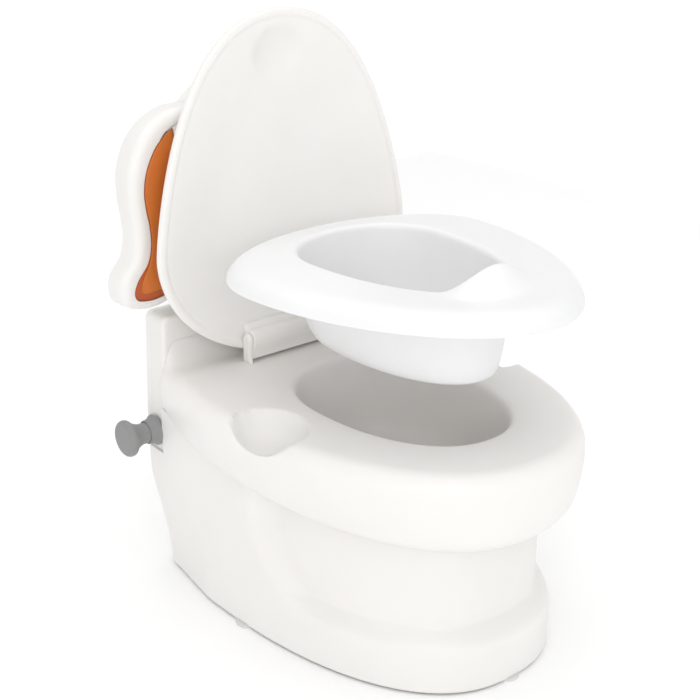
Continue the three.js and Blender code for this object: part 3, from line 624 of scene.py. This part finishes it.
def make_tank():
    """The tank's front and rear cover, with its battery door, speaker holes and screw wells."""
    split = (tank_high.y + tank_back_low.y) / 2
    front = slab("visual_tank", tank_outline, tank_low.y, split - SEAM, 3.5 * MM, 0.5 * MM)
    shown(front, "base", "body", BODY, "tank_front")
    rear = slab("visual_tank_back", tank_outline, split + SEAM, tank_back_high.y, 0.8 * MM, 2.2 * MM)
    door_low, door_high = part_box("battery_door")
    around_low = door_low - Vector((0.4, 1, 0.4)) * MM
    around_high = door_high + Vector((0.4, 9, 0.4)) * MM
    carve(rear, box_solid("hole", around_low, around_high, 1.2 * MM))
    speaker_low, speaker_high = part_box("speaker")
    centre = (speaker_low + speaker_high) / 2
    for radius, count in ((0, 1), (9 * MM, 6)):
        for k in range(count):
            a = 2 * math.pi * k / count
            x, z = centre.x + radius * math.cos(a), centre.z + radius * math.sin(a)
            start = (x, tank_back_high.y - 6 * MM, z)
            carve(rear, lathe("hole", start, (0, 1, 0), [(2.5 * MM, 0), (2.5 * MM, 9 * MM)], 24))
    for name in [n for n in frame["nodes"] if n.startswith("tank_screw")]:
        carve(rear, screw_well(name))
    shown(rear, "base", "body", BODY, "tank_back_cover")
    door = box_solid("visual_battery_door", door_low, door_high, 1.0 * MM)
    groove_low = (-12 * MM, door_high.y - 0.9 * MM, door_high.z - 9 * MM)
    groove_high = (12 * MM, door_high.y + MM, door_high.z - 6.5 * MM)
    carve(door, box_solid("notch", groove_low, groove_high, 0.6 * MM))
    shown(door, "base", "body", BODY, "battery_door")


def make_head():
    """The panel behind the lid and its rear cover."""
    split = (head_high.y + head_back_low.y) / 2
    panel = slab("visual_head", head_outline, head_low.y, split - SEAM, 6 * MM, 0.8 * MM)
    shown(panel, "base", "body", BODY, "head_panel")
    cover = slab("visual_head_back", head_outline, split + SEAM, head_back_high.y, 0.8 * MM, 2.2 * MM)
    for name in [n for n in frame["nodes"] if n.startswith("head_screw")]:
        carve(cover, screw_well(name))
    shown(cover, "base", "body", BODY, "head_back_cover")


def screw_well(name):
    """The round hole that a screw sits at the bottom of, as a solid to cut away."""
    low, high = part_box(name)
    centre = (low + high) / 2
    start = high.y - 2.6 * MM
    return lathe("well", (centre.x, start, centre.z), (0, 1, 0), [(4.2 * MM, 0), (4.2 * MM, 8 * MM)], 40)


def make_screws():
    """Pan-head screws with a cross cut."""
    for name in [n for n in frame["nodes"] if "screw" in n]:
        low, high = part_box(name)
        centre = (low + high) / 2
        head = [(0.1, 0), (1.5, -0.02), (3.0, -0.5), (3.8, -1.4), (3.8, -2.3)]
        profile = [(r * MM, along * MM) for r, along in head]
        profile += [(1.6 * MM, -2.3 * MM), (1.6 * MM, low.y - high.y), (0.2 * MM, low.y - high.y)]
        screw = lathe(f"visual_{name}", (centre.x, high.y, centre.z), (0, 1, 0), profile, 40)
        for half_x, half_z in ((2.2, 0.5), (0.5, 2.2)):
            slot_low = (centre.x - half_x * MM, high.y - 1.3 * MM, centre.z - half_z * MM)
            slot_high = (centre.x + half_x * MM, high.y + MM, centre.z + half_z * MM)
            carve(screw, box_solid("slot", slot_low, slot_high))
        shown(screw, "base", "steel", STEEL, name)


# ---------------------------------------------------------------- ears
EAR_EDGE = [
    (76, 451), (91, 455), (104.4, 453.6), (123.1, 444.7), (138.1, 428.7), (146.4, 405.7), (147, 382.9),
    (143.2, 350.6), (147.6, 326.3), (160.3, 308.6), (159.5, 290.3), (140.5, 283.6), (118.6, 286.4),
    (98, 300), (92, 350), (84, 410),
]  # fmt: skip
EAR_POCKET = [
    (105, 443), (120.8, 432), (129.9, 419), (136, 404), (138.3, 388), (136.9, 371.5), (134.4, 357.4),
    (134, 339), (138.3, 323.5), (150.3, 307.7), (153.6, 295), (145.4, 287.6), (131, 287.2), (113, 292),
    (105, 306), (102.8, 345), (102.8, 400),
]  # fmt: skip


def curve_through(points):
    """A closed Catmull-Rom curve through the points, in metres."""
    p = np.array(points) * MM
    before, after, beyond = np.roll(p, 1, 0), np.roll(p, -1, 0), np.roll(p, -2, 0)
    t = np.linspace(0, 1, 24, endpoint=False)[:, None]
    spans = []
    for a, b, c, d in zip(before, p, after, beyond):
        square, cube = 2 * a - 5 * b + 4 * c - d, 3 * b - a - 3 * c + d
        spans.append(0.5 * (2 * b + (c - a) * t + square * t**2 + cube * t**3))
    return np.vstack(spans)


def inward(outline, distance):
    """A closed outline moved inwards along its own smoothed normals. It runs clockwise."""
    along = np.roll(outline, -2, 0) - np.roll(outline, 2, 0)
    normal = np.column_stack([along[:, 1], -along[:, 0]])
    normal /= np.linalg.norm(normal, axis=1)[:, None]
    return outline + normal * distance


def by_landmarks(curve):
    """The curve with set numbers of points between its landmarks, so that two such curves match.

    The landmarks are its first point, crown, waist, lobe and foot.
    """
    x, z = curve.T
    lobe = int(np.argmax(np.where(z < 325 * MM, x, 0)))
    crown = int(np.argmax(np.where(z > 360 * MM, x, 0)))
    waist = crown + int(np.argmin(x[crown:lobe]))
    marks = [0, crown, waist, lobe, int(np.argmin(z)), len(curve)]
    closed = np.vstack([curve, curve[:1]])
    pieces = []
    for first, last, count in zip(marks, marks[1:], (64, 56, 52, 36, 80)):
        piece = closed[first : last + 1]
        reach = np.r_[0, np.cumsum(np.hypot(*np.diff(piece, axis=0).T))]
        stops = np.linspace(0, reach[-1], count, endpoint=False)
        pieces.append(np.column_stack([np.interp(stops, reach, piece[:, k]) for k in (0, 1)]))
    return np.vstack(pieces)


def make_ear(side, name):
    """One ear: a padded frame, an orange plate in its pocket and the plate's raised middle."""
    low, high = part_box(f"ear_frame_{name}")
    front, rear = low.y, high.y
    widest = max(abs(low.x), abs(high.x))
    bullnose, depth = 9.4 * MM, 8.5 * MM  # how far the rounding reaches in, and how far back
    edge = by_landmarks(curve_through(EAR_EDGE))
    pocket = by_landmarks(curve_through(EAR_POCKET))
    grow = 5 * MM  # the drawn edge runs along the middle of the rounding

    def section(shape, y):
        """An outline of (x, z) at depth y, kept clear of the head panel and inside the ear's box."""
        x = np.clip(shape[:, 0], head_half_at(shape[:, 1]) + 0.3 * MM, widest)
        return np.column_stack([side * x, np.full(len(shape), y), shape[:, 1]])

    rings = []
    for inset, drop in quarter(9):
        rings.append(section(inward(edge, bullnose * inset - grow), rear - 0.6 * depth * drop))
    for inset, drop in quarter(13, 1, 0):
        rings.append(section(inward(edge, bullnose * inset - grow), front + depth * drop))
    inner_round = 0.9 * MM
    for inset, drop in quarter(6):
        rings.append(section(inward(pocket, -inner_round * inset), front + inner_round * drop))
    inlay_low, inlay_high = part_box(f"ear_inlay_{name}")
    rings.append(section(pocket, inlay_high.y + MM))
    body = loft(f"visual_ear_{name}", rings, flat_caps=True)
    shown(body, "base", "body", BODY, f"ear_frame_{name}")

    plate_front = inlay_low.y - 3.2 * MM
    rings = []
    for inset, y in ((2, 0), (0.9, 0.1), (0.5, 0.6), (0.4, 2.0)):
        rings.append(section(inward(pocket, inset * MM), plate_front + y * MM))
    plate = loft(f"visual_inlay_{name}", rings, flat_caps=True)
    shown(plate, "base", "orange", ORANGE_DARK, f"ear_inlay_{name}")
    # the raised middle fills the pocket, but for a border round the lobe at its foot
    border = (1.2 + 6.8 * (1 - smooth(296 * MM, 332 * MM, pocket[:, 1]))) * MM
    rings = []
    for inset, y in ((1.2, 0), (0.5, 0.2), (0, 0.8), (0, 2.2)):
        rings.append(section(inward(pocket, (border + inset * MM)[:, None]), plate_front + (y - 1.6) * MM))
    centre = loft(f"visual_inlay_centre_{name}", rings, flat_caps=True)
    shown(centre, "base", "orange", ORANGE)


# ---------------------------------------------------------------- lid
LID_TILT = math.radians(2.69)
LID_FOOT = np.array([132.2, 217.2]) * MM
LID_UP = np.array([math.sin(LID_TILT), math.cos(LID_TILT)])
LID_BACK = np.array([math.cos(LID_TILT), -math.sin(LID_TILT)])
LID_WIDEST = 115 * MM  # this and the next three are lengths and powers of the outline, up the lid's face
LID_ABOVE, LID_BELOW = 209.7 * MM, 110.6 * MM
LID_SIDE_POWER, LID_TIP_POWER = 1.44, 2.07
LID_DISH = 14
GRIP = {"u": 285 * MM, "half_x": 29 * MM, "half_u": 25 * MM, "depth": 8 * MM}


def lid_points(x, u, w):
    """From lid coordinates (across, up the face, back from its rim) to the row frame."""
    yz = LID_FOOT + np.outer(u, LID_UP) + np.outer(w, LID_BACK)
    return np.column_stack([x, yz])


def lid_outline(inset):
    """The lid seen from the front, as (x, u): round at its foot, fuller sides and a rounder tip above."""
    angle = np.linspace(0, 2 * np.pi, 2400, endpoint=False)
    up = np.sin(angle) > 0
    power = np.where(up, mix(LID_SIDE_POWER, LID_TIP_POWER, np.abs(np.sin(angle))), 2.0)
    reach = np.where(up, LID_ABOVE, LID_BELOW) - inset
    x = (lid_half - inset) * super_cos(angle, power)
    u = LID_WIDEST + reach * super_sin(angle, power)
    return evenly(np.column_stack([x, u]), start=0.25)


def grip_relief(x, u, w, along):
    """The fingertip dimple near the lid's tip, pushed towards its back."""
    r2 = (x / GRIP["half_x"]) ** 2 + ((u - GRIP["u"]) / GRIP["half_u"]) ** 2
    push = GRIP["depth"] * np.clip(1 - r2, 0, 1) ** 0.9
    return w + push * along


def make_lid():
    """The dished lid and the knuckle at its foot."""
    face = []
    for inset in (100, 92, 84, 77, 70, 63, 56, 49, 42, 36, 30, 25, 20, 16, 13, 10.5, 9):
        face.append((inset, 1.3 + (LID_DISH - 1.3) * float(smooth(5, 84, inset)) ** 0.8))
    face += [(8.2, 1.25), (7.4, 0.8), (6.8, 0.25), (6, 0.02), (4.4, 0), (2.8, 0.15)]
    rim = [(1.4, 0.7), (0.45, 1.7), (0, 3), (0, 4.6), (0.5, 6), (1.6, 7.8), (3.2, 9.6), (5.4, 11.5)]
    rear = [(8.4, 13.4), (12, 15), (17, 16.2), (23, 16.8)]
    rear += [(inset, 17) for inset in (30, 40, 52, 66, 84, 100)]
    sections = []
    for inset, w in face + rim + rear:
        shape = lid_outline(inset * MM)
        x, u = shape.T
        sections.append(lid_points(x, u, grip_relief(x, u, w * MM, smooth(6, 20, inset))))
    lid = loft("visual_lid", sections[::-1])
    shown(lid, "lid", "body", BODY, "lid")

    half = CHEEK_INNER - 0.6 * MM
    outline = []
    for a in np.linspace(0.38 * np.pi, 1.06 * np.pi, 60):
        outline.append((hinge_y + BARREL * math.cos(a), hinge_z + BARREL * math.sin(a)))
    y, z = outline[-1]
    low = DECK + 3 * MM
    for a in np.linspace(0, np.pi / 2, 30)[1:]:
        fall = (z - 6 * MM - low) * (1 - math.cos(a)) + 6 * MM * a / (np.pi / 2)
        outline.append((y + 6 * MM * math.sin(a) ** 3, z - fall))
    outline.append((hinge_y + 3.5 * MM, low))
    for u, w in ((8, 0), (13, 6), (20, 14.8), (38, 14.8), (38, 0)):
        outline.append(tuple(LID_FOOT + u * MM * LID_UP + w * MM * LID_BACK))
    outline = evenly(np.array(outline), 240)
    middle = outline.mean(0)
    sections = []
    for inset, back_off in ((5, 0), (1.3, 0), (0.6, 0.25), (0.2, 0.7), (0, 1.4)):
        shrunk = middle + (outline - middle) * (1 - inset / 16)
        sections.append(np.column_stack([np.full(len(outline), -half + back_off * MM), shrunk]))
    sections += [s * [-1, 1, 1] for s in sections[::-1]]
    knuckle = loft("visual_lid_knuckle", sections, flat_caps=True)
    shown(knuckle, "lid", "body", BODY)


# ---------------------------------------------------------------- lift-out bowl
FLANGE = dict(half_width=143.2 * MM, centre=12.6 * MM, front=210.6 * MM, rear=103.4 * MM)
FLANGE.update(front_power=1.86, rear_power=2.1)
MOUTH = dict(half_width=73.4 * MM, centre=11 * MM, front=138.8 * MM, rear=62.9 * MM, front_power=2.1)
BOWL = dict(half_width=51.4 * MM, centre=-20.8 * MM, front=99 * MM, rear=91.2 * MM, front_power=2.1)
BOWL_DEPTH = 84 * MM
GUARD = {"y": -126 * MM, "half_x": 50 * MM, "half_y": 34 * MM, "height": 21 * MM}


def make_insert():
    """The bowl, its broad flange and the splash guard, as one skin from the inner bottom to the outer."""
    centre = np.array([0, -10 * MM])
    angles = angles_of(grown(MOUTH, 40 * MM), centre)
    ring = lambda shape, offset: at_angles(grown(shape, offset * MM), angles, centre)
    rise = lambda y: mix(16 * MM, 14 * MM, smooth(30 * MM, 110 * MM, y))
    base = DECK + 0.3 * MM + LIFT
    top = base + 16 * MM

    def bowl(depth, offset):
        """The bowl's outline at a depth below the rim, moved outwards by offset."""
        t = depth * MM / BOWL_DEPTH
        share = 0.25 * t + 0.75 * (1 - math.sqrt(max(0.0, 1 - t**3)))
        return mix(ring(MOUTH, offset), ring(BOWL, offset), share)

    def rim(inset, drop):
        """The flange's section at an inset from its outline, drop below its crown."""
        shape = ring(FLANGE, -inset)
        return level(shape, base + rise(shape[:, 1]) - drop * MM)

    sections = [level(ring(BOWL, offset), top - BOWL_DEPTH) for offset in (-34, -22, -12)]
    for depth in (83.8, 83.2, 82.2, 80.6, 78.4, 75.5, 72, 67, 61, 54, 46, 38, 30, 23, 17, 12, 8.5, 6, 4):
        sections.append(level(bowl(depth, 0), top - depth * MM))
    for offset, drop in ((0.25, 2.8), (0.8, 1.8), (1.7, 0.9), (2.9, 0.3), (4.4, 0)):
        sections.append(level(ring(MOUTH, offset), top - drop * MM))
    sections += between(level(ring(MOUTH, 4.4), top), rim(30, -0.1), 8)
    crown = [(30, -0.1), (25, 0.0), (20, 0.35), (16, 1.0), (12.5, 2.0)]
    crown += [(9.5, 3.3), (7, 4.9), (5, 6.8), (3.4, 8.9), (2, 11.2)]
    sections += [rim(inset, drop) for inset, drop in crown]
    lip = [(1.1, 3.2), (0.45, 1.8), (0.1, 0.8), (0.0, 0.35), (0.35, 0.05), (0.9, 0.0)]
    for inset, height in lip + [(1.7, 0.0), (2.3, 0.4), (2.9, 1.6)]:
        sections.append(level(ring(FLANGE, -inset), base + height * MM))
    under = [(5, 10.5), (7.4, 7.8), (10.4, 5.6), (14, 3.9), (19, 2.9), (26, 2.5)]
    sections += [rim(inset, drop) for inset, drop in under]
    sections += between(rim(26, 2.5), level(ring(MOUTH, 8), top - 2.5 * MM), 6)
    for offset, drop in ((8, 2.5), (5.2, 2.9), (3.6, 4.0), (2.8, 6)):
        sections.append(level(ring(MOUTH, offset), top - drop * MM))
    for depth in (9, 14, 20, 28, 38, 48, 57, 65, 71, 76, 79.5, 81.8, 83.2):
        sections.append(level(bowl(depth, 2.5), top - depth * MM))
    bottom = top - BOWL_DEPTH - 2.5 * MM
    sections += [level(ring(BOWL, 0.6), bottom + 1.4 * MM), level(ring(BOWL, -2.5), bottom + 0.4 * MM)]
    sections += [level(ring(BOWL, offset), bottom) for offset in (-7, -20, -36)]
    raised = [guard_relief(s, top) for s in sections]
    insert = loft("visual_insert", raised)
    shown(insert, "insert", "insert", INSERT, "potty_insert")


def guard_relief(v, top):
    """The splash guard: a rounded hill at the mouth's front end, higher than the rim."""
    x, y, z = v.T
    reach = np.clip(np.hypot(x / GUARD["half_x"], (y - GUARD["y"]) / GUARD["half_y"]), 0, 1)
    hill = GUARD["height"] * np.cos(0.5 * np.pi * reach) ** 2
    out = v.copy()
    out[:, 2] = z + hill * smooth(top - 14 * MM, top - 1.5 * MM, z)
    return out


# ---------------------------------------------------------------- push knob
def make_knob():
    """The flared push knob and its trumpet-shaped collar on the tank's side."""
    low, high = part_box("flush_knob")
    centre_y = (low.y + high.y) / 2
    centre_z = (low.z + high.z) / 2
    face = -low.x
    radius = (high.z - low.z) / 2
    collar_low, collar_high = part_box("knob_bushing")
    wall = -collar_high.x
    neck = 10.2 * MM
    end = wall + 9.7 * MM
    profile = [(4 * MM, wall - 10 * MM), (4 * MM, end), (neck, end), (neck, wall + 16.6 * MM)]
    for t in np.linspace(0, 1, 14):
        profile.append((mix(neck, radius - 3.2 * MM, t**1.7), mix(wall + 17.2 * MM, face - 9.4 * MM, t)))
    for a in np.linspace(-0.42 * np.pi, 0.5 * np.pi, 18):
        profile.append((radius - 4 * MM + 4 * MM * math.cos(a), face - 4.6 * MM + 4.6 * MM * math.sin(a)))
    profile += [(radius - 9 * MM, face - 0.05 * MM), (3 * MM, face)]
    knob = lathe("visual_knob", (0, centre_y, centre_z), (-1, 0, 0), profile, 96)
    shown(knob, "knob", "knob", GREY, "flush_knob")
    outer = (collar_high.z - collar_low.z) / 2 - 1.2 * MM
    bore = neck + 0.3 * MM
    collar = [(bore, wall + 1.7 * MM), (bore, wall + 11.4 * MM)]
    collar += [(bore + 0.4 * MM, wall + 12 * MM), (11.2 * MM, wall + 12 * MM), (11.8 * MM, wall + 11.3 * MM)]
    for t in np.linspace(0, 1, 12):
        collar.append((mix(11.9 * MM, outer - 1.2 * MM, t**2.2), mix(wall + 10.6 * MM, wall + 3.4 * MM, t)))
    for a in np.linspace(np.pi / 3, -0.1, 8):
        collar.append((outer - 1.8 * MM + 1.8 * MM * math.cos(a), wall + 1.6 * MM + 1.8 * MM * math.sin(a)))
    collar += [(outer - 0.6 * MM, wall + 0.1 * MM), (neck, wall + 0.1 * MM)]
    bushing = lathe("visual_knob_collar", (0, centre_y, centre_z), (-1, 0, 0), collar, 96)
    shown(bushing, "base", "knob", GREY, "knob_bushing")


# ---------------------------------------------------------------- CAD pieces that are kept
def keep_cad():
    """Gives each CAD piece that still shows a finish of its own."""
    finishes = {"rubber": RUBBER, "steel": STEEL, "dark": DARK, "board": BOARD, "knob": GREY, "body": BODY}
    slots = {s["node"]: s["material_slot"] for s in frame["record"]["subparts"]}
    for name, obj in frame["nodes"].items():
        if obj.hide_render:
            continue
        obj.data.materials.clear()
        obj.data.materials.append(finishes[slots[name]])


# ---------------------------------------------------------------- studio
def make_studio():
    """A near-white floor, a soft dome and three area lights."""
    bpy.ops.mesh.primitive_plane_add(size=2.6)
    floor = bpy.context.object
    floor.name = "studio_floor"
    n = Nodes("studio_floor")
    shades = [(0.985, 0.985, 0.985), (0.99, 0.99, 0.99)]
    n.link(n.ramp(n.noise(2.5, 2), 0.3, 0.7, shades), n.shader.inputs["Base Color"])
    n.shader.inputs["Roughness"].default_value = 0.9
    floor.data.materials.append(n.material)

    # a soft dome, brighter at the horizon like a lit backdrop
    world = bpy.data.worlds.new("studio")
    bpy.context.scene.world = world
    world.use_nodes = True
    tree = world.node_tree
    background = tree.nodes["Background"]
    background.inputs["Color"].default_value = (1.0, 1.0, 1.0, 1)
    height = tree.nodes.new("ShaderNodeSeparateXYZ")
    tree.links.new(tree.nodes.new("ShaderNodeTexCoord").outputs["Generated"], height.inputs[0])
    glow = tree.nodes.new("ShaderNodeMapRange")
    for key, value in (("From Min", 0.0), ("From Max", 0.3), ("To Min", 1.05), ("To Max", 0.6)):
        glow.inputs[key].default_value = value
    tree.links.new(height.outputs["Z"], glow.inputs["Value"])
    tree.links.new(glow.outputs["Result"], background.inputs["Strength"])

    def area(name, place, target, size, power):
        light = bpy.data.lights.new(name, "AREA")
        light.shape = "RECTANGLE"
        light.size, light.size_y = size
        light.energy = power
        obj = bpy.data.objects.new(name, light)
        obj.location = place
        obj.rotation_euler = (Vector(target) - Vector(place)).to_track_quat("-Z", "Y").to_euler()
        bpy.context.scene.collection.objects.link(obj)

    area("key", (1.6, -1.7, 1.6), (0, 0, 0.25), (1.8, 1.8), 3)
    area("front", (-1.3, -1.6, 1.1), (0, 0, 0.2), (1.6, 1.2), 12)
    area("top", (0.0, 0.5, 5.0), (0, 0.5, 0), (7.0, 7.0), 155)


def make_camera():
    """The view that matches the photograph."""
    camera = bpy.data.cameras.new("camera")
    camera.lens = 67.72
    camera.sensor_width = 36
    camera.shift_x = 0.0227
    camera.shift_y = 0.0195
    camera.dof.use_dof = False
    obj = bpy.data.objects.new("camera", camera)
    obj.location = (-0.7323, -0.8185, 0.7009)
    obj.rotation_euler = Vector((0.5862, 0.7129, -0.3849)).to_track_quat("-Z", "Y").to_euler()
    bpy.context.scene.collection.objects.link(obj)
    bpy.context.scene.camera = obj
    scene = bpy.context.scene
    scene.view_settings.view_transform = "Standard"
    scene.view_settings.look = "None"


make_base()
make_seat()
make_hinge()
make_tank()
make_head()
make_screws()
make_ear(-1, "left")
make_ear(1, "right")
make_lid()
make_insert()
make_knob()
keep_cad()
make_studio()
make_camera()
